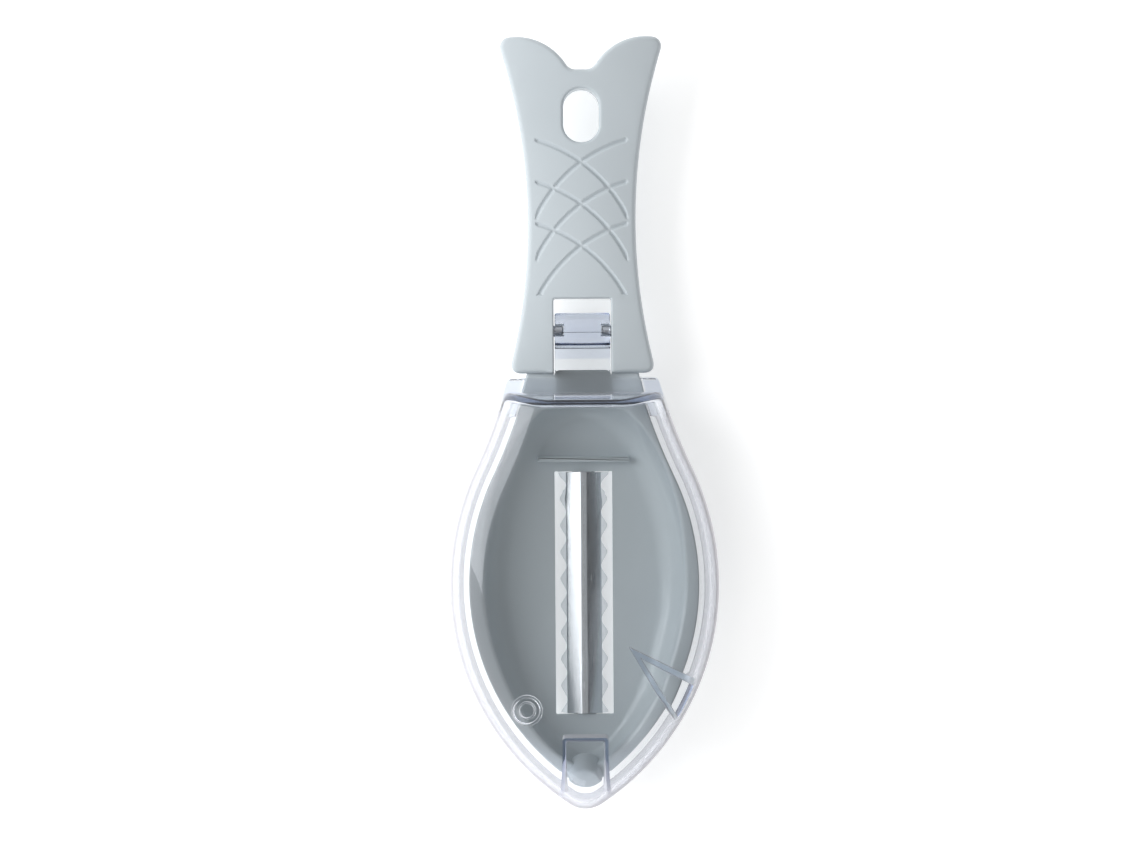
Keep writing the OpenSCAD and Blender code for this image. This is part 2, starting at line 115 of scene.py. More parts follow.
# How finely a half outline is divided: snout to belly, belly to the neck, the neck, the
# rounded rear corner and the straight rear end.
LOW_STEPS, SIDE_STEPS, NECK_STEPS, CORNER_STEPS, END_STEPS = 56, 34, 8, 8, 8
NECK_ANGLE = 62


# ---- Plane geometry ----

def direction(degrees):
    return np.array([math.cos(math.radians(degrees)), math.sin(math.radians(degrees))])


def heading(v):
    return math.degrees(math.atan2(v[1], v[0]))


def arc(centre, r, a0, a1, steps):
    angles = np.linspace(a0, a1, steps + 1)
    return [np.array(centre) + r * direction(a) for a in angles]


def mirrored(points):
    return [np.array([-p[0], p[1]]) for p in reversed(points)]


def both_sides(half):
    """A whole outline from its right half, whose two ends lie on the middle line."""
    return half + mirrored(half)[1:-1]


def bezier(start, control, end, steps):
    return [(1 - t) ** 2 * start + 2 * t * (1 - t) * control + t * t * end
            for t in np.linspace(0, 1, steps + 1)]


def ray_hit(angle, centre, r, side):
    """How far a ray from the origin goes before it leaves (1) or enters (-1) a circle."""
    along = direction(angle) @ centre
    return along + side * math.sqrt(along**2 - centre @ centre + r * r)


def offset(points, distances):
    """A closed anticlockwise outline moved inwards, by a distance for each point."""
    p = np.array(points, float)
    before, after = p - np.roll(p, 1, 0), np.roll(p, -1, 0) - p
    before /= np.linalg.norm(before, axis=1)[:, None]
    after /= np.linalg.norm(after, axis=1)[:, None]
    normal = np.stack([-(before + after)[:, 1], (before + after)[:, 0]], 1)
    normal /= np.linalg.norm(normal, axis=1)[:, None]
    square = np.stack([-before[:, 1], before[:, 0]], 1)
    miter = np.clip((normal * square).sum(1), 0.5, 1)
    return p + normal * (np.broadcast_to(distances, len(p)) / miter)[:, None]


def rectangle(x0, x1, y0, y1, r):
    corners = ((x1 - r, y0 + r, -90), (x1 - r, y1 - r, 0), (x0 + r, y1 - r, 90), (x0 + r, y0 + r, 180))
    return [p for x, y, a in corners for p in arc((x, y), r, a, a + 90, 6)]


def circle(x, y, r, steps=64):
    return arc((x, y), r, 0, 360 * (1 - 1 / steps), steps - 1)


# ---- The fish's outline ----

def side_x(y, inset=0):
    return WAIST_X - math.sqrt((WAIST_R + inset) ** 2 - (y - WAIST_Y) ** 2)


def reach(angle, inset, snout):
    """Distance from the belly's centre to the outline, for a snout of radius and tip y."""
    b = BELLY_HALF - inset
    nose = np.array([0, snout[1] + snout[0] - BELLY_Y])
    low_r = (b * b + nose @ nose - snout[0] ** 2) / (2 * (b - snout[0]))
    low, up_r = np.array([b - low_r, 0]), UPPER_R - inset
    up, waist = np.array([b - up_r, 0]), np.array([WAIST_X, WAIST_ABOVE])
    nose_end = heading(low + low_r * (nose - low) / np.linalg.norm(nose - low))
    belly_end = heading(up + up_r * (waist - up) / np.linalg.norm(waist - up))
    if angle < nose_end:
        return ray_hit(angle, nose, snout[0], 1)
    if angle < 0:
        return ray_hit(angle, low, low_r, 1)
    if angle < belly_end:
        return ray_hit(angle, up, up_r, 1)
    return ray_hit(angle, waist, WAIST_R + inset, -1)


def ring(inset, rear, snout, corner=1.0):
    """The fish's outline from the snout to a straight rear end with rounded corners."""
    belly = np.array([0, BELLY_Y])
    start = np.array([side_x(rear - corner, inset), rear - corner])
    angles = [-90 + 90 * (i / LOW_STEPS) ** 1.5 for i in range(LOW_STEPS)]
    angles += [NECK_ANGLE * i / SIDE_STEPS for i in range(SIDE_STEPS)]
    angles += list(np.linspace(NECK_ANGLE, heading(start - belly), NECK_STEPS + 1)[:-1])
    half = [belly + reach(a, inset, snout) * direction(a) for a in angles]
    edge = np.array([side_x(rear, inset), rear])
    end = edge - np.array([corner, 0])
    half += bezier(start, edge, end, CORNER_STEPS)
    half += [end + (np.array([0, rear]) - end) * i / END_STEPS for i in range(1, END_STEPS + 1)]
    return both_sides(half)


def cover_snout(inset):
    """The snout's radius and tip. Past the wall the radius falls slower than the inset grows."""
    past_wall = max(inset - COVER_WALL, 0)
    return SNOUT_R - min(inset, COVER_WALL) - SNOUT_SHARE * past_wall, SNOUT_Y + inset


def tray_snout(inset):
    return TRAY_SNOUT_R - inset, TRAY_SNOUT_Y + inset


def leaf(w, up, down, power_up, power_down):
    """A leaf round the belly's centre, with as many points as a ring."""
    belly = np.array([0, BELLY_Y])
    points = []
    for p in ring(TRAY_INSET, TRAY_REAR, tray_snout(0)):
        d = (p - belly) / np.linalg.norm(p - belly)
        l, n = (up, power_up) if d[1] > 0 else (down, power_down)
        points.append(belly + d / ((abs(d[0]) / w) ** n + (abs(d[1]) / l) ** n) ** (1 / n))
    return points


# ---- Meshes ----

def made(name, bm):
    bmesh.ops.recalc_face_normals(bm, faces=bm.faces)
    mesh = bpy.data.meshes.new(name)
    bm.to_mesh(mesh)
    bm.free()
    piece = bpy.data.objects.new(name, mesh)
    bpy.context.scene.collection.objects.link(piece)
    return piece


def lifted(points, z):
    return [(p[0], p[1], z) for p in points]


def add_wall(bm, rings):
    """Faces between each ring and the next. All rings have as many points."""
    rows = [[bm.verts.new(Vector([float(c) for c in p]) * MM) for p in points] for points in rings]
    for low, high in zip(rows, rows[1:]):
        for i in range(len(low)):
            k = (i + 1) % len(low)
            bm.faces.new((low[i], low[k], high[k], high[i]))
    return rows


def loft(name, rings, first=None, last=None):
    """A closed mesh through rings. An end is a fan to the point given for it, or flat."""
    bm = bmesh.new()
    rows = add_wall(bm, rings)
    for row, tip in ((rows[0], first), (rows[-1], last)):
        if tip is None:
            bm.faces.new(row)
            continue
        middle = bm.verts.new(Vector([float(c) for c in tip]) * MM)
        for i in range(len(row)):
            bm.faces.new((row[i], row[(i + 1) % len(row)], middle))
    return made(name, bm)


def rounded(outline, low, high, top_edge, low_edge=0.0, steps=5):
    """Rings of a slab over an outline, with rounded upper and lower edges."""
    rings = []
    for edge, z, sign in ((low_edge, low, 1), (top_edge, high, -1)):
        angles = np.linspace(90, 0, steps + 1) if sign > 0 else np.linspace(0, 90, steps + 1)
        if edge == 0:
            rings.append(lifted(outline, z))
            continue
        for a in angles:
            c, s = direction(a)
            rings.append(lifted(offset(outline, edge * (1 - c)), z + sign * edge * (1 - s)))
    return rings


def slab(name, outline, low, high, top_edge=0.0, low_edge=0.0):
    return loft(name, rounded(outline, low, high, top_edge, low_edge))


def rod(name, profile, y, z, steps=64):
    """A turned piece along X. The profile is a list of x and radius."""
    turns = [2 * math.pi * i / steps for i in range(steps)]
    rings = [[(x, y + r * math.cos(t), z + r * math.sin(t)) for t in turns] for x, r in profile]
    return loft(name, rings)


def turned(name, profile, x, y, steps=64):
    """A turned piece along Z. The profile is a list of radius and z."""
    return loft(name, [lifted(circle(x, y, r, steps), z) for r, z in profile])


def applied(piece):
    bpy.context.view_layer.update()
    result = piece.evaluated_get(bpy.context.evaluated_depsgraph_get())
    mesh = bpy.data.meshes.new_from_object(result)
    piece.modifiers.clear()
    piece.data = mesh
    return piece


def combine(piece, operation, *tools):
    """The piece after a boolean with each tool in turn. The tools are used up."""
    for tool in tools:
        modifier = piece.modifiers.new(tool.name, "BOOLEAN")
        modifier.operation = operation
        modifier.solver = "MANIFOLD"
        modifier.object = tool
    applied(piece)
    for tool in tools:
        bpy.data.objects.remove(tool)
    return piece


def finished(piece, name, body, node, material, smooth_angle=32):
    """Names the piece, shades it, gives it its body and its finish, and hides the CAD node that it replaces.
    """
    piece.name = piece.data.name = name
    piece.data.materials.clear()
    piece.data.materials.append(material)
    piece.data.polygons.foreach_set("use_smooth", [True] * len(piece.data.polygons))
    piece.data.set_sharp_from_angle(angle=math.radians(smooth_angle))
    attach(piece, body)
    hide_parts(node)
    return piece


# ---- Grip ----

def lift(y):
    return TAIL_LIFT * (max(y - GRIP_FRONT, 0) / (LENGTH / 2 - GRIP_FRONT)) ** 2


def meeting(c1, r1, c2, r2):
    """The point at the distances r1 from c1 and r2 from c2, to the left of the line between."""
    gap = np.linalg.norm(c2 - c1)
    u = (c2 - c1) / gap
    x = (gap * gap + r1 * r1 - r2 * r2) / (2 * gap)
    return c1 + u * x + math.sqrt(r1 * r1 - x * x) * np.array([-u[1], u[0]])


def grip_half():
    """The right half of the grip's outline, from the window's rear edge to the tail's notch."""
    lobe = np.array([LOBE_X, LENGTH / 2 - LOBE_R])
    notch_x = LOBE_X - math.sqrt((LOBE_R + NOTCH_R) ** 2 - (NOTCH_Y + NOTCH_R - lobe[1]) ** 2)
    notch = np.array([notch_x, NOTCH_Y + NOTCH_R])
    waist = np.array([WAIST_X, WAIST_Y])
    corner = meeting(lobe, LOBE_R - TAIL_CORNER_R, waist, WAIST_R + TAIL_CORNER_R)
    to_lobe, from_lobe = heading(lobe - notch), heading(corner - lobe)
    to_waist = heading(waist - corner)
    window = WINDOW_W / 2
    inner = [np.array([0.0, WINDOW_REAR]), np.array([window / 2, WINDOW_REAR])]
    inner += bezier(*(np.array(p, float) for p in (
        (window - 0.6, WINDOW_REAR), (window, WINDOW_REAR), (window, WINDOW_REAR - 0.6))), 4)
    inner += [np.array([window, y]) for y in np.linspace(WINDOW_REAR - 1.5, GRIP_FRONT + 1.6, 14)]
    inner += bezier(*(np.array(p, float) for p in (
        (window, GRIP_FRONT + 0.7), (window, GRIP_FRONT), (window + 0.7, GRIP_FRONT))), 5)
    front_x = side_x(GRIP_FRONT)
    front = np.linspace(window + 1.4, front_x - FRONT_CORNER_R - 0.6, 8)
    inner += [np.array([x, GRIP_FRONT]) for x in front]
    side_start = np.array([side_x(GRIP_FRONT + FRONT_CORNER_R), GRIP_FRONT + FRONT_CORNER_R])
    inner += bezier(np.array([front_x - FRONT_CORNER_R, GRIP_FRONT]), np.array([front_x, GRIP_FRONT]),
                    side_start, 8)
    outer = arc(waist, WAIST_R, heading(side_start - waist) % 360, 180 + to_waist, 60)[1:]
    outer += arc(corner, TAIL_CORNER_R, to_waist, from_lobe, 10)[1:]
    outer += arc(lobe, LOBE_R, from_lobe, 180 + to_lobe, 24)[1:]
    outer += arc(notch, NOTCH_R, to_lobe, -90, 10)[1:]
    return inner + outer


def hang_outline(grow=0.0):
    straight = (HANG_L - HANG_W) / 2
    r = HANG_W / 2 + grow
    return (arc((0, HANG_Y + straight), r, 0, 180, 24) + arc((0, HANG_Y - straight), r, 180, 360, 24))


def groove_depth(x, y):
    """How deep the crossed grooves cut at each of many points."""
    depth = np.zeros_like(x)
    for row in range(3):
        for side in (-1, 1):
            centre_y = GROOVE_Y - row * GROOVE_STEP
            off_line = np.abs(np.hypot(x + side * GROOVE_X, y - centre_y) - GROOVE_R)
            off_line = np.hypot(off_line, np.maximum(np.abs(x) - GROOVE_HALF, 0))
            here = GROOVE_DEPTH * np.clip(1 - (off_line / GROOVE_W) ** 2, 0, 1) ** 1.2
            depth = np.maximum(depth, np.where(y > centre_y - 4, here, 0))
    return depth


def grip_height(x, y):
    half = np.maximum(np.array([side_x(min(v, 78)) for v in y]), WAIST_HALF)
    rise = np.array([lift(v) for v in y])
    return GRIP_TOP + rise - GRIP_CROWN * np.minimum(np.abs(x) / half, 1.4) ** 2 - groove_depth(x, y)


def sheet_points(spacing, fine_box, fine):
    """A coarse grid over the grip and a fine one in a box."""
    points = []
    for x0, x1, y0, y1, step in ((-26, 26, 13, 101, spacing), (*fine_box, fine)):
        xs, ys = np.meshgrid(np.arange(x0, x1, step), np.arange(y0, y1, step))
        points.append(np.stack([xs.ravel(), ys.ravel()], 1))
    coarse, dense = points
    x0, x1, y0, y1 = fine_box
    outside = (coarse[:, 0] < x0) | (coarse[:, 0] > x1) | (coarse[:, 1] < y0) | (coarse[:, 1] > y1)
    return np.vstack([coarse[outside], dense])


def inside(points, outline):
    """Which points lie inside a closed outline."""
    a, b = np.array(outline), np.roll(np.array(outline), -1, 0)
    x, y = points[:, 0][:, None], points[:, 1][:, None]
    crosses = (a[:, 1] > y) != (b[:, 1] > y)
    with np.errstate(divide="ignore", invalid="ignore"):
        at = a[:, 0] + (y - a[:, 1]) * (b[:, 0] - a[:, 0]) / (b[:, 1] - a[:, 1])
    return (crosses & (x < at)).sum(1) % 2 == 1


def add_sheet(bm, outline, hole, height, grid, margin):
    """Fills an outline with a hole by small triangles at the height that a function gives."""
    edges = np.vstack([outline, hole])
    keep = inside(grid, outline) & ~inside(grid, hole)
    grid = grid[keep]
    gap = np.full(len(grid), 1e9)
    for p in edges:
        gap = np.minimum(gap, np.hypot(*(grid - p).T))
    points = np.vstack([edges, grid[gap > margin]])
    n, m = len(outline), len(hole)
    joins = [(i, (i + 1) % n) for i in range(n)] + [(n + i, n + (i + 1) % m) for i in range(m)]
    flat = delaunay_2d_cdt([Vector(p) for p in points], joins, [], 1, 1e-5)
    xy = np.array([tuple(v) for v in flat[0]])
    z = height(xy[:, 0], xy[:, 1])
    verts = [bm.verts.new(Vector((x, y, h)) * MM) for (x, y), h in zip(xy, z)]
    centres = np.array([xy[list(f)].mean(0) for f in flat[2]])
    kept = ~inside(centres, hole) & inside(centres, outline)
    for face, good in zip(flat[2], kept):
        if good:
            bm.faces.new([verts[i] for i in face])


def grip():
    outline = both_sides(grip_half())
    hole = hang_outline()[:-1]
    in_window = [abs(p[0]) <= WINDOW_W / 2 + 0.8 and p[1] < WINDOW_REAR + 0.1 for p in outline]
    edge = np.array([WINDOW_EDGE if w else GRIP_EDGE for w in in_window])
    for _ in range(EDGE_BLENDS):
        edge = (np.roll(edge, 1) + 2 * edge + np.roll(edge, -1)) / 4
    low_edge = np.minimum(edge, GRIP_LOW_EDGE)

    def wall(points, radii, low_radii, inward):
        """Rings up a side of the grip, with rounded edges of a radius for each point."""
        rings = []
        for r, high in ((low_radii, False), (radii, True)):
            for a in (np.linspace(90, 0, 7) if not high else np.linspace(0, 90, 7)):
                c, s = direction(a)
                p = offset(points, inward * r * (1 - c))
                if high:
                    z = grip_height(p[:, 0], p[:, 1]) - r * (1 - s)
                else:
                    z = np.array([GRIP_BOTTOM + lift(v) for v in p[:, 1]]) + r * (1 - s)
                rings.append([(x, y, h) for (x, y), h in zip(p, z)])
        return rings

    bm = bmesh.new()
    outer = wall(outline, edge, low_edge, 1)
    round_hole = wall(hole, np.full(len(hole), HANG_TOP_EDGE), np.full(len(hole), HANG_LOW_EDGE), -1)
    add_wall(bm, outer)
    add_wall(bm, round_hole)
    top = [np.array([p[:2] for p in rings[-1]]) for rings in (outer, round_hole)]
    base = [np.array([p[:2] for p in rings[0]]) for rings in (outer, round_hole)]
    # The grooves need a fine mesh on the top. The base is plain, so a coarse one does.
    fine = (-GROOVE_HALF - 1.6, GROOVE_HALF + 1.6, 33.5, 75)
    add_sheet(bm, *top, grip_height, sheet_points(2.0, fine, 0.3), 0.2)
    add_sheet(bm, *base, lambda x, y: np.array([GRIP_BOTTOM + lift(v) for v in y]),
              sheet_points(3.0, (0, 1, 50, 51), 0.9), 0.6)
    bmesh.ops.remove_doubles(bm, verts=bm.verts, dist=2e-6)
    piece = made("grip", bm)
    return combine(piece, "DIFFERENCE", *grip_bays())


def grip_bays():
    """The hollows of the grip's underside, between the cross ribs and beside the hanging hole."""
    bays = []
    rear = BAYS_REAR + RIB_T / 2
    lines = [CORE_FRONT - RIB_T / 2, *GRIP_RIBS, rear]
    for low, high in zip(lines, lines[1:]):
        beside_hole = high == rear
        y0, y1 = low + RIB_T / 2, high - RIB_T / 2
        ys = np.linspace(y0, y1, 12 if beside_hole else 9)
        half = [np.array([side_x(y) - GRIP_WALL, y]) for y in ys]
        near = HANG_W / 2 + GRIP_WALL
        right = half + [np.array([near, y1]), np.array([near, y0])]
        roof = GRIP_TOP - GRIP_WALL + lift((y0 + y1) / 2) - BAY_ROOF_DROP
        for outline in ((mirrored(right), right) if beside_hole else (half + mirrored(half),)):
            rings = [lifted(outline, 2), lifted(outline, roof - BAY_BEVEL_H),
                     lifted(offset(outline, BAY_BEVEL), roof)]
            bays.append(loft("bay", rings))
    return bays


# ---- Tray ----

def bowl_ring(u, thick=0.0):
    s = math.sin(math.radians(90 * u))
    return leaf(FLOOR_W + thick + (MOUTH_W - FLOOR_W) * s,
                FLOOR_UP + thick + (BOWL_UP - FLOOR_UP) * s,
                FLOOR_DOWN + thick + (BOWL_DOWN - FLOOR_DOWN) * s,
                1.7 + 0.5 * s, 1.7)


def tray():
    """From the floor's underside out to the rim, over its rounded lip and down into the bowl."""
    steps = 20
    under = DECK_TOP - DECK_T
    rise = [1 - math.cos(math.radians(90 * i / steps)) for i in range(steps + 1)]
    rings = []
    for i, h in enumerate(rise):
        z = FLOOR_BOTTOM + (under - FLOOR_BOTTOM) * h
        rings.append(lifted(bowl_ring(i / steps * 0.96, 0.9 * i / steps), z))
    edge = ring(TRAY_INSET, TRAY_REAR, tray_snout(0))
    inner_edge = ring(TRAY_INSET + DECK_T, TRAY_REAR - DECK_T, tray_snout(DECK_T))
    low = DECK_TOP - TRAY_SKIRT
    rings += [lifted(inner_edge, under), lifted(inner_edge, low + 0.1), lifted(offset(edge, 1.6), low),
              lifted(offset(edge, 0.3), low)]
    rings += rounded(edge, low + 0.3, DECK_TOP, 0.6)
    mouth = bowl_ring(1)
    for a in (90, 68, 45, 22, 0):
        c, s = direction(a)
        rings.append(lifted(offset(mouth, -LIP_R * (1 - c)), DECK_TOP - LIP_R * (1 - s)))
    for i in range(steps - 1, -1, -1):
        z = FLOOR_TOP + (DECK_TOP - FLOOR_TOP) * rise[i]
        if z < DECK_TOP - LIP_R:
            rings.append(lifted(bowl_ring(i / steps), z))
    return loft("tray", rings, first=(0, BELLY_Y, FLOOR_BOTTOM), last=(0, BELLY_Y, FLOOR_TOP))


def half_disc(y, r):
    """A disc with its snout side cut off by a chord."""
    angles = np.linspace(-math.pi / 6, math.pi * 7 / 6, 33)
    return [np.array([r * math.cos(a), y + r * math.sin(a)]) for a in angles]


def catch_boss():
    rings = [lifted(half_disc(BOSS_FOOT_Y, BOSS_R), FLOOR_TOP - 0.5)]
    for a in np.linspace(0, 90, 7):
        c, s = direction(a)
        z = BOSS_TOP - BOSS_EDGE_H * (1 - s)
        share = (z - FLOOR_TOP) / (BOSS_TOP - FLOOR_TOP)
        y = BOSS_FOOT_Y + (BOSS_TOP_Y - BOSS_FOOT_Y) * share
        rings.append(lifted(half_disc(y, BOSS_R - BOSS_EDGE * (1 - c)), z))
    boss = loft("boss", rings)
    inside_edge = ring(TRAY_INSET + 0.4, TRAY_REAR, tray_snout(0.4))
    return combine(boss, "INTERSECT", slab("limit", inside_edge, DECK_TOP - TRAY_SKIRT + 0.3, PAST))


def stake(y):
    """A peg of the tray, melted to a head over the blade's tab."""
    head = FLOOR_BOTTOM - 1
    return turned("stake", [(STAKE_HEAD_R - 0.9, head), (STAKE_HEAD_R - 0.3, head + 0.15),
                            (STAKE_HEAD_R, head + 0.5), (STAKE_HEAD_R, FLOOR_BOTTOM),
                            (STAKE_R, FLOOR_BOTTOM), (STAKE_R, FLOOR_BOTTOM + 1.4)], 0, y)


def box(name, x, y, z, top_edge=0.0, low_edge=0.0, corner=0.3):
    return slab(name, rectangle(*x, *y, corner), *z, top_edge, low_edge)


def tongue_corners():
    """Cutters that round the two corners of the tray's end where it shows in the window."""
    x, y, r = WINDOW_W / 2, TRAY_REAR, TONGUE_CORNER_R
    right = arc((x - r, y - r), r, 0, 90, 8) + [np.array([x - r, y + 1]), np.array([x, y + 1])]
    return [slab("corner", outline, DECK_TOP - TRAY_SKIRT - 1, DECK_TOP + 1)
            for outline in (mirrored(right), right)]


def cross_ways(name, start, radius):
    """A rod outwards along the hinge's axis on each side, from a distance from the middle."""
    return [rod(name, [(side * start, radius), (side * PAST, radius)], HINGE_Y, HINGE_Z) for side in (-1, 1)]


def body_piece():
    piece = tray()
    cross_rib = box("cross_rib", (-CROSS_RIB_HALF, CROSS_RIB_HALF), CROSS_RIB_Y,
                    (FLOOR_TOP - 0.5, FLOOR_TOP + CROSS_RIB_H), 0.5)
    neck_ribs = [box("neck_rib", (x - RIB_T / 2, x + RIB_T / 2), (NECK_RIB_FRONT, TRAY_REAR - 1), NECK_RIB_Z)
                 for x in (-NECK_RIB_X, NECK_RIB_X)]
    combine(piece, "UNION", catch_boss(), cross_rib, *neck_ribs, grip())
    slot = box("slot", (-SLOT_W / 2, SLOT_W / 2), (SLOT_FRONT, SLOT_REAR), (FLOOR_BOTTOM - 2, FLOOR_TOP + 5))
    recess_half = STRAP_W / 2 + 0.3
    recess_ends = ((SLOT_REAR - 1, SLOT_REAR + TAB_L + 0.5), (SLOT_FRONT - TAB_L - 0.5, SLOT_FRONT + 1))
    recesses = [box("recess", (-recess_half, recess_half), y, (FLOOR_BOTTOM - 1, FLOOR_BOTTOM + BLADE_T))
                for y in recess_ends]
    bores = cross_ways("bore", WINDOW_W / 2 - 1, PIN_R)
    combine(piece, "DIFFERENCE", slot, *recesses, *bores, *tongue_corners())
    return combine(piece, "UNION", stake(SLOT_REAR + TAB_L / 2), stake(SLOT_FRONT - TAB_L / 2))


# ---- Cover ----

def dome(name, wall, base):
    """The dome's outer skin, or its inner one when it is drawn in by the wall's thickness."""
    shoulder = COVER_TOP - CROWN_RISE - FILLET_R
    top = shoulder + FILLET_R - wall
    lean = (shoulder - DOME_BASE) * math.tan(math.radians(COVER_DRAFT))
    profile = [(wall, base), (wall, DOME_BASE)]
    profile += [(wall + lean * t, DOME_BASE + (shoulder - DOME_BASE) * t) for t in (0.25, 0.5, 0.75, 1)]
    for a in np.linspace(0, 90, 19)[1:]:
        c, s = direction(a)
        profile.append((wall + lean + (FILLET_W - wall) * (1 - c), shoulder + (FILLET_R - wall) * s))
    corner = 1.4 - wall * 0.3
    rings = []
    for inset, z in profile:
        rear = DOME_REAR - wall - REAR_SHARE * (inset - wall)
        rings.append(lifted(ring(inset, rear, cover_snout(inset), corner), z))
    belly = np.array([0, BELLY_Y])
    last = np.array([p[:2] for p in rings[-1]])
    for share in (0.97, 0.92, 0.85, 0.75, 0.6, 0.4, 0.2):
        rings.append(lifted(belly + share * (last - belly), top + CROWN_RISE * (1 - share**2)))
    return loft(name, rings, last=(0, BELLY_Y, top + CROWN_RISE))


def cover_piece():
    outer = dome("dome", 0, COVER_EDGE)
    inner = dome("inner", COVER_WALL, COVER_EDGE - 2)
    floor_of_mouth = COVER_TOP - LIP_DEPTH
    mouth = [np.array(p, float) for p in LIPS]
    wedge = slab("wedge", offset(mouth, -COVER_WALL), floor_of_mouth - COVER_WALL, COVER_TOP + 2)
    socket = box("socket", (-SOCKET_HALF, SOCKET_HALF), (-LENGTH / 2 - 2, SOCKET_REAR),
                 (SOCKET_BOTTOM, COVER_TOP + 2), corner=0.8)
    hollow_half = SOCKET_HALF - SOCKET_T
    hollow = box("hollow", (-hollow_half, hollow_half), (-LENGTH / 2 - 4, SOCKET_REAR - SOCKET_T),
                 (SOCKET_BOTTOM - 2, COVER_TOP - COVER_WALL), corner=0.6)
    combine(socket, "DIFFERENCE", hollow)
    combine(socket, "INTERSECT", dome("limit", SUNK, COVER_EDGE))
    combine(wedge, "INTERSECT", dome("limit", SUNK, COVER_EDGE))
    surface = BVHTree.FromObject(outer, bpy.context.evaluated_depsgraph_get())
    rings = [eye_ring(surface, r, thickness) for r, thickness in EYE_BEADS]
    shell = combine(outer, "DIFFERENCE", inner)
    neck_half = side_x(DOME_REAR, CHEEK_INSET)
    neck = box("neck", (-neck_half, neck_half), (0, 12), (COVER_EDGE - 1, DOME_BASE))
    combine(shell, "DIFFERENCE", neck)
    combine(shell, "UNION", wedge, socket, *cheeks(), flange(), *hinge_arm())
    cutter = slab("mouth", mouth, floor_of_mouth, COVER_TOP + 2, low_edge=0.3)
    bores = cross_ways("bore", ARM_W / 2 - PIN_REACH - 0.2, PIN_R + PIN_PLAY)
    combine(shell, "DIFFERENCE", cutter, *bores)
    return combine(shell, "UNION", *rings)


def eye_ring(surface, r, thickness, steps=72, around=12):
    """A round bead that lies on the dome's surface, half sunk into it."""
    rows = []
    for i in range(steps):
        a = 360 * i / steps
        outward = direction(a)
        x, y = np.array(EYE_AT) + r * outward
        place, normal, _, _ = surface.ray_cast(Vector((x, y, 2 * COVER_TOP)) * MM, Vector((0, 0, -1)))
        along = Vector((-outward[1], outward[0], 0))
        side = along.cross(normal).normalized()
        rows.append([place / MM + thickness * (math.cos(t) * side + math.sin(t) * normal)
                     for t in np.linspace(0, 2 * math.pi, around + 1)[:-1]])
    bm = bmesh.new()
    verts = [[bm.verts.new(p * MM) for p in row] for row in rows]
    for row, after in zip(verts, verts[1:] + verts[:1]):
        for k in range(around):
            bm.faces.new((row[k], row[(k + 1) % around], after[(k + 1) % around], after[k]))
    return made("eye", bm)


def cheeks():
    """The thick ends of the cover's side walls, beside the tray's neck."""
    ys = np.linspace(2, SKIRT_REAR, 10)
    outer = [np.array([side_x(y), y]) for y in ys]
    inner = [np.array([side_x(y, CHEEK_INSET), y]) for y in ys]
    right = outer + inner[::-1]
    return [slab("cheek", outline, COVER_EDGE, DOME_BASE + 0.5) for outline in (mirrored(right), right)]


def flange():
    """The flat plate behind the dome that the arm grows from."""
    whole = ring(0, FLANGE_FRONT, cover_snout(0), 1.2)
    return slab("flange", [p for p in whole if p[1] > DOME_REAR - COVER_WALL], DOME_BASE, GRIP_TOP, 0.5, 0.2)


def hinge_arm():
    """The barrel with rounded edges, the web that holds it and a rib under the web."""
    half, edge = ARM_W / 2, ARM_EDGE
    right = [(half - edge, BARREL_R), (half - edge * 0.3, BARREL_R - edge * 0.3), (half, BARREL_R - edge)]
    barrel = rod("barrel", [(-x, r) for x, r in reversed(right)] + right, HINGE_Y, HINGE_Z, 96)
    web_half, rib_half = half - SUNK, half - 2 * SUNK
    web = box("web", (-web_half, web_half), (FLANGE_FRONT - 1.5, HINGE_Y),
              (DOME_BASE, HINGE_Z + BARREL_R - SUNK), 0.3)
    rib = box("arm_rib", (-rib_half, rib_half), ARM_RIB, (HINGE_Z - 1.5, DOME_BASE + 0.5))
    return [barrel, web, rib]


# ---- Blade ----

def arch(back):
    """The section of the folded strip: two leaning legs under a roof with a narrow crest."""
    foot = np.array([BLADE_HALF - back, 0.0])
    knee = np.array([LEG_TOP[0] - back, LEG_TOP[1] - ROOF_SHARE * back])
    crest = np.array([CREST_HALF, CREST_TOP - back])
    top = np.array([0, CREST_TOP - back])
    half = [foot + (knee - foot) * t for t in np.linspace(0, 0.9, 6)]
    half += bezier(knee + (foot - knee) * 0.08, knee, knee + (crest - knee) * 0.1, 4)
    half += bezier(crest + (knee - crest) * 0.1, crest, crest + (top - crest) * 0.6, 4)
    return half + [top] + mirrored(half)


def tooth_gap(y, pitch):
    """A cutter for one gap between two teeth, with a round root."""
    mouth = (pitch - TOOTH_TIP) / 2
    root = [(TOOTH_ROOT * math.cos(a), TOOTH_DEPTH - TOOTH_ROOT + TOOTH_ROOT * math.sin(a))
            for a in np.linspace(0.5, math.pi - 0.5, 13)]
    points = [(-mouth, -1), (mouth, -1), (mouth, 0), *root, (-mouth, 0)]
    rings = [[(x, y + p[0], p[1]) for p in points] for x in (-BLADE_HALF - 1, BLADE_HALF + 1)]
    return loft("gap", rings)


def blade_end(end, way):
    """The strap that closes an end of the strip, and the tab that it turns into, with its hole."""
    inner, outer = sorted((end, end - way * BLADE_T))
    half = STRAP_W / 2
    strap = box("strap", (-half, half), (inner, outer), (FLOOR_BOTTOM, STRAP_TOP))
    inner, outer = sorted((end - way * BLADE_T, end + way * (TAB_L - BLADE_T)))
    tab = box("tab", (-half, half), (inner, outer), (FLOOR_BOTTOM, FLOOR_BOTTOM + BLADE_T), corner=1)
    hole_y = end + way * (TAB_L / 2 + BLADE_END_GAP)
    hole = turned("hole", [(STAKE_R + 0.1, 0), (STAKE_R + 0.1, 6)], 0, hole_y)
    return [strap, combine(tab, "DIFFERENCE", hole)]


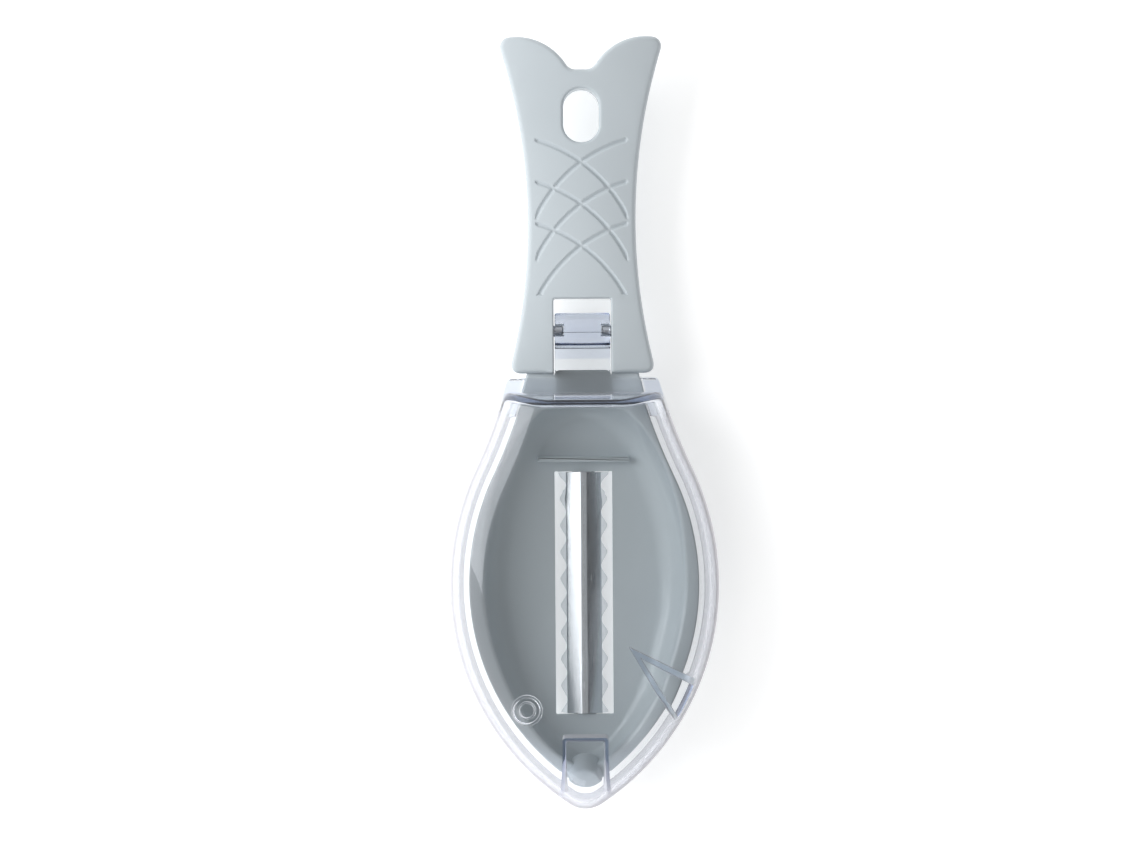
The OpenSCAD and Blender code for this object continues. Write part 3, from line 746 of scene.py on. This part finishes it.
def blade_piece():
    outline = arch(0) + arch(BLADE_T)[::-1]
    y0, y1 = SLOT_FRONT + BLADE_END_GAP, SLOT_REAR - BLADE_END_GAP
    strip = loft("strip", [[(p[0], y, p[1]) for p in outline] for y in np.linspace(y0, y1, 40)])
    pitch = (y1 - y0) / TOOTH_GAPS
    combine(strip, "DIFFERENCE", *[tooth_gap(y1 - (i + 0.5) * pitch, pitch) for i in range(TOOTH_GAPS)])
    return combine(strip, "UNION", *blade_end(y1, 1), *blade_end(y0, -1))


# ---- Pins ----

def pin_piece(side):
    start, end = ARM_W / 2 - PIN_REACH, side_x(HINGE_Y) - PIN_SHORT
    profile = [(start, PIN_R - PIN_EDGE), (start + PIN_EDGE, PIN_R),
               (end - PIN_EDGE, PIN_R), (end, PIN_R - PIN_EDGE)]
    return rod("pin", [(side * x, r) for x, r in profile], HINGE_Y, HINGE_Z)


# ---- Materials ----

# The darker and the lighter colour of each finish, between which noise changes.
MOULDING_COLOURS = (0.53, 0.585, 0.62), (0.56, 0.615, 0.65)
CLEAR_COLOURS = (0.985, 0.985, 0.965), (0.99, 0.99, 0.975)
MILK_COLOURS = (0.70, 0.69, 0.735), (0.74, 0.73, 0.77)
FLOOR_COLOURS = (0.90, 0.90, 0.90), (0.92, 0.92, 0.92)
BLADE_COLOUR, WIRE_COLOUR, STEEL_SHADE = (0.66, 0.68, 0.70), (0.55, 0.56, 0.58), 0.94
NOISE_LOW, NOISE_HIGH = 0.3, 0.7

COAT, COAT_ROUGHNESS = 0.35, 0.12
CLEAR_IOR = 1.49
DEPTH_COLOUR, DEPTH_DENSITY = (0.34, 0.46, 0.72), 60
FLOOR_GLOW = 0.445

# How milky the clear plastic gets at a slant, how late it gets so, and what is left of that
# at the neck, from the first to the second place along the fish.
MILK_MOST, MILK_POWER, NECK_MILK, NECK_Y = 0.8, 1.5, 0.12, (1, 4)
# What each surface of the cover lets through to light the inside: the dome's walls, its top
# between two heights, and the flange beside the arm and the snout.
WALL_TINT, TOP_TINT, THIN_TINT = (0.62, 0.62, 0.61), (0.86, 0.86, 0.84), (0.985, 0.985, 0.985)
WALL_Z = (21, 31)


def new_material(name):
    material = bpy.data.materials.new(name)
    material.use_nodes = True
    tree = material.node_tree
    return material, tree, tree.nodes["Principled BSDF"], tree.nodes["Material Output"]


def noise(tree, scale, detail=3.0, stretch=(1, 1, 1)):
    """Noise over the piece's own coordinates, in features per metre."""
    place = tree.nodes.new("ShaderNodeTexCoord")
    shape = tree.nodes.new("ShaderNodeMapping")
    shape.inputs["Scale"].default_value = stretch
    texture = tree.nodes.new("ShaderNodeTexNoise")
    texture.inputs["Scale"].default_value = scale
    texture.inputs["Detail"].default_value = detail
    tree.links.new(place.outputs["Object"], shape.inputs["Vector"])
    tree.links.new(shape.outputs["Vector"], texture.inputs["Vector"])
    return texture.outputs["Fac"]


def ramp(tree, value, colours):
    node = tree.nodes.new("ShaderNodeValToRGB")
    for element, position, colour in zip(node.color_ramp.elements, (NOISE_LOW, NOISE_HIGH), colours):
        element.position = position
        element.color = (*colour, 1)
    tree.links.new(value, node.inputs["Fac"])
    return node.outputs["Color"]


def spread(tree, value, low, high):
    node = tree.nodes.new("ShaderNodeMapRange")
    node.inputs["To Min"].default_value = low
    node.inputs["To Max"].default_value = high
    tree.links.new(value, node.inputs["Value"])
    return node.outputs["Result"]


def math_node(tree, operation, a, b=None):
    node = tree.nodes.new("ShaderNodeMath")
    node.operation = operation
    tree.links.new(a, node.inputs[0])
    if b is not None:
        tree.links.new(b, node.inputs[1])
    return node.outputs[0]


def powered(tree, value, power):
    result = math_node(tree, "POWER", value)
    result.node.inputs[1].default_value = power
    return result


def bump(tree, shader, height, distance, strength=1.0):
    node = tree.nodes.new("ShaderNodeBump")
    node.inputs["Distance"].default_value = distance
    node.inputs["Strength"].default_value = strength
    tree.links.new(height, node.inputs["Height"])
    tree.links.new(node.outputs["Normal"], shader.inputs["Normal"])


def moulding_material():
    material, tree, shader, _ = new_material("satin_moulding")
    tree.links.new(ramp(tree, noise(tree, 35), MOULDING_COLOURS), shader.inputs["Base Color"])
    tree.links.new(spread(tree, noise(tree, 900), 0.36, 0.5), shader.inputs["Roughness"])
    shader.inputs["Coat Weight"].default_value = COAT
    shader.inputs["Coat Roughness"].default_value = COAT_ROUGHNESS
    bump(tree, shader, noise(tree, 5200, 2), 0.00002, 0.35)
    return material


def step(tree, value, start, end):
    """0 up to one place and 1 from the other on, in millimetres."""
    node = tree.nodes.new("ShaderNodeMapRange")
    node.inputs["From Min"].default_value = start * MM
    node.inputs["From Max"].default_value = end * MM
    tree.links.new(value, node.inputs["Value"])
    return node.outputs["Result"]


def tint_mix(tree, share, low, high):
    """A colour between two, each a socket or a fixed colour."""
    mix = tree.nodes.new("ShaderNodeMix")
    mix.data_type = "RGBA"
    tree.links.new(share, mix.inputs["Factor"])
    for socket, colour in zip([i for i in mix.inputs if i.type == "RGBA"], (low, high)):
        if isinstance(colour, tuple):
            socket.default_value = (*colour, 1)
        else:
            tree.links.new(colour, socket)
    return [o for o in mix.outputs if o.type == "RGBA"][0]


def lamp_tint(tree, place):
    """What one surface of the cover lets through to light the inside, by where it is."""
    x, y, z = (place.outputs[axis] for axis in "XYZ")
    beside_arm = step(tree, math_node(tree, "ABSOLUTE", x), ARM_W / 2, ARM_W / 2 + 0.3)
    flange_part = math_node(tree, "MULTIPLY", step(tree, y, DOME_REAR - 1, DOME_REAR + 0.5), beside_arm)
    snout_part = step(tree, y, SOCKET_REAR, SOCKET_REAR - 5)
    dome_tint = tint_mix(tree, step(tree, z, *WALL_Z), WALL_TINT, TOP_TINT)
    return tint_mix(tree, math_node(tree, "MAXIMUM", flange_part, snout_part), dome_tint, THIN_TINT)


def shader_mix(tree, share, first, second):
    mix = tree.nodes.new("ShaderNodeMixShader")
    tree.links.new(share, mix.inputs["Fac"])
    tree.links.new(first, mix.inputs[1])
    tree.links.new(second, mix.inputs[2])
    return mix.outputs["Shader"]


def clear_material():
    """Clear plastic that is milky at a slant. Light for the inside passes straight through."""
    material, tree, shader, out = new_material("clear_moulding")
    tree.links.new(ramp(tree, noise(tree, 25), CLEAR_COLOURS), shader.inputs["Base Color"])
    shader.inputs["Transmission Weight"].default_value = 1
    shader.inputs["IOR"].default_value = CLEAR_IOR
    tree.links.new(spread(tree, noise(tree, 160), 0.0, 0.03), shader.inputs["Roughness"])
    bump(tree, shader, noise(tree, 60, 1), 0.0002, 0.08)
    milk = tree.nodes.new("ShaderNodeBsdfDiffuse")
    tree.links.new(ramp(tree, noise(tree, 40), MILK_COLOURS), milk.inputs["Color"])
    whole = tree.nodes.new("ShaderNodeTexCoord")
    place = tree.nodes.new("ShaderNodeSeparateXYZ")
    tree.links.new(whole.outputs["Object"], place.inputs["Vector"])
    slant = tree.nodes.new("ShaderNodeLayerWeight")
    slant.inputs["Blend"].default_value = 0.5
    milky = spread(tree, powered(tree, slant.outputs["Facing"], MILK_POWER), 0.0, MILK_MOST)
    before_neck = spread(tree, step(tree, place.outputs["Y"], *NECK_Y), 1.0, NECK_MILK)
    share = math_node(tree, "MULTIPLY", milky, before_neck)
    clear = shader_mix(tree, share, shader.outputs["BSDF"], milk.outputs["BSDF"])
    lamp = tree.nodes.new("ShaderNodeBsdfTransparent")
    tree.links.new(lamp_tint(tree, place), lamp.inputs["Color"])
    rays = tree.nodes.new("ShaderNodeLightPath")
    lighting = math_node(tree, "MAXIMUM", rays.outputs["Is Shadow Ray"], rays.outputs["Is Diffuse Ray"])
    tree.links.new(shader_mix(tree, lighting, clear, lamp.outputs["BSDF"]), out.inputs["Surface"])
    depth = tree.nodes.new("ShaderNodeVolumeAbsorption")
    depth.inputs["Color"].default_value = (*DEPTH_COLOUR, 1)
    depth.inputs["Density"].default_value = DEPTH_DENSITY
    tree.links.new(depth.outputs["Volume"], out.inputs["Volume"])
    return material


def steel_material(name, colour, low, high, stretch):
    """Bare steel with its grain along one axis, and a roughness between two values."""
    material, tree, shader, _ = new_material(name)
    shade = ramp(tree, noise(tree, 300, 2, stretch), (tuple(STEEL_SHADE * c for c in colour), colour))
    tree.links.new(shade, shader.inputs["Base Color"])
    shader.inputs["Metallic"].default_value = 1
    tree.links.new(spread(tree, noise(tree, 1500, 3, stretch), low, high), shader.inputs["Roughness"])
    bump(tree, shader, noise(tree, 2500, 2, stretch), 0.00001, 0.3)
    return material


def floor_material():
    material, tree, shader, _ = new_material("studio_floor")
    tree.links.new(ramp(tree, noise(tree, 3), FLOOR_COLOURS), shader.inputs["Base Color"])
    shader.inputs["Roughness"].default_value = 0.9
    shader.inputs["Specular IOR Level"].default_value = 0.1
    shader.inputs["Emission Color"].default_value = (1, 1, 1, 1)
    shader.inputs["Emission Strength"].default_value = FLOOR_GLOW
    return material


# ---- The pieces on their bodies ----

finished(body_piece(), "grip_and_tray", "handle_and_tray", "body", moulding_material())
finished(cover_piece(), "clear_cover", "cover", "cover", clear_material())
finished(blade_piece(), "tooth_blade", "handle_and_tray", "blade",
         steel_material("polished_steel", BLADE_COLOUR, 0.2, 0.3, (1, 0.06, 1)))
wire = steel_material("drawn_wire", WIRE_COLOUR, 0.25, 0.4, (0.06, 1, 1))
for pin_side, pin_name in ((-1, "hinge_pin_left"), (1, "hinge_pin_right")):
    finished(pin_piece(pin_side), "steel_" + pin_name, "handle_and_tray", pin_name, wire)


# ---- Floor, lights and camera ----

FLOOR_SIZE = 3
AIM = (0, 0, 0.01)
# Each softbox: its place and its size in metres, and its watts.
SOFTBOXES = {"key": ((-1.0, 0.3, 0.7), (0.7, 1.1), 13.5), "front_fill": ((-0.3, -1.0, 0.6), (0.6, 0.6), 3)}
# The room's strength as it is seen, and as it lights diffuse surfaces.
ROOM_SEEN, ROOM_LIGHT = 0.95, 0.46
# Each dark flag: its direction, the cosines from it at which it starts and is whole, and the
# share of light that it leaves. One is on the right and one is overhead.
FLAGS = (((0.86, 0.0, 0.51), 0.7, 0.93, 0.03), ((0.0, 0.0, 1.0), 0.86, 0.97, 0.45))
# The camera's view, in millimetres and degrees.
VIEW_WIDTH, VIEW_X, VIEW_Y, VIEW_Z, VIEW_ROLL = 294.6, -3.4, -1.2, 20, -0.4
SENSOR, LENS = 36, 135


def studio_floor():
    bm = bmesh.new()
    bmesh.ops.create_grid(bm, x_segments=8, y_segments=8, size=FLOOR_SIZE)
    piece = made("studio_floor", bm)
    piece.data.materials.append(floor_material())


def softbox(name, place, size, watts):
    data = bpy.data.lights.new(name, "AREA")
    data.shape = "RECTANGLE"
    data.size, data.size_y = size
    data.energy = watts
    lamp = bpy.data.objects.new(name, data)
    lamp.location = place
    lamp.rotation_euler = (Vector(AIM) - Vector(place)).to_track_quat("-Z", "Y").to_euler()
    lamp.visible_glossy = False
    bpy.context.scene.collection.objects.link(lamp)


def flagged(tree, direction_to, towards, start, whole, kept):
    """The room's strength in a direction, with one dark flag in it."""
    facing = tree.nodes.new("ShaderNodeVectorMath")
    facing.operation = "DOT_PRODUCT"
    facing.inputs[1].default_value = towards
    tree.links.new(direction_to, facing.inputs[0])
    flag = tree.nodes.new("ShaderNodeMapRange")
    flag.interpolation_type = "SMOOTHSTEP"
    flag.inputs["From Min"].default_value = start
    flag.inputs["From Max"].default_value = whole
    flag.inputs["To Min"].default_value = ROOM_SEEN
    flag.inputs["To Max"].default_value = kept * ROOM_SEEN
    tree.links.new(facing.outputs["Value"], flag.inputs["Value"])
    return flag.outputs["Result"]


def world_light():
    """A pale room with dark flags in it. Diffuse surfaces get a weaker, even light."""
    world = bpy.data.worlds.new("studio")
    bpy.context.scene.world = world
    world.use_nodes = True
    tree = world.node_tree
    background = tree.nodes["Background"]
    background.inputs["Color"].default_value = (1, 1, 1, 1)
    place = tree.nodes.new("ShaderNodeTexCoord")
    level = math_node(tree, "MINIMUM", *(flagged(tree, place.outputs["Generated"], *flag) for flag in FLAGS))
    rays = tree.nodes.new("ShaderNodeLightPath")
    strength = tree.nodes.new("ShaderNodeMix")
    strength.data_type = "FLOAT"
    strength.inputs["B"].default_value = ROOM_LIGHT
    tree.links.new(rays.outputs["Is Diffuse Ray"], strength.inputs["Factor"])
    tree.links.new(level, strength.inputs["A"])
    tree.links.new(strength.outputs["Result"], background.inputs["Strength"])


def straight_down_camera():
    """The photograph's view, from straight above."""
    data = bpy.data.cameras.new("camera")
    data.sensor_width, data.lens = SENSOR, LENS
    height = VIEW_WIDTH * MM * data.lens / data.sensor_width
    camera = bpy.data.objects.new("camera", data)
    camera.location = (VIEW_X * MM, VIEW_Y * MM, height + VIEW_Z * MM)
    camera.rotation_euler = (0, 0, math.radians(VIEW_ROLL))
    data.clip_end = 20
    bpy.context.scene.collection.objects.link(camera)
    bpy.context.scene.camera = camera


studio_floor()
world_light()
for lamp_name, lamp_values in SOFTBOXES.items():
    softbox(lamp_name, *lamp_values)
straight_down_camera()
bpy.context.scene.view_settings.view_transform = "Standard"
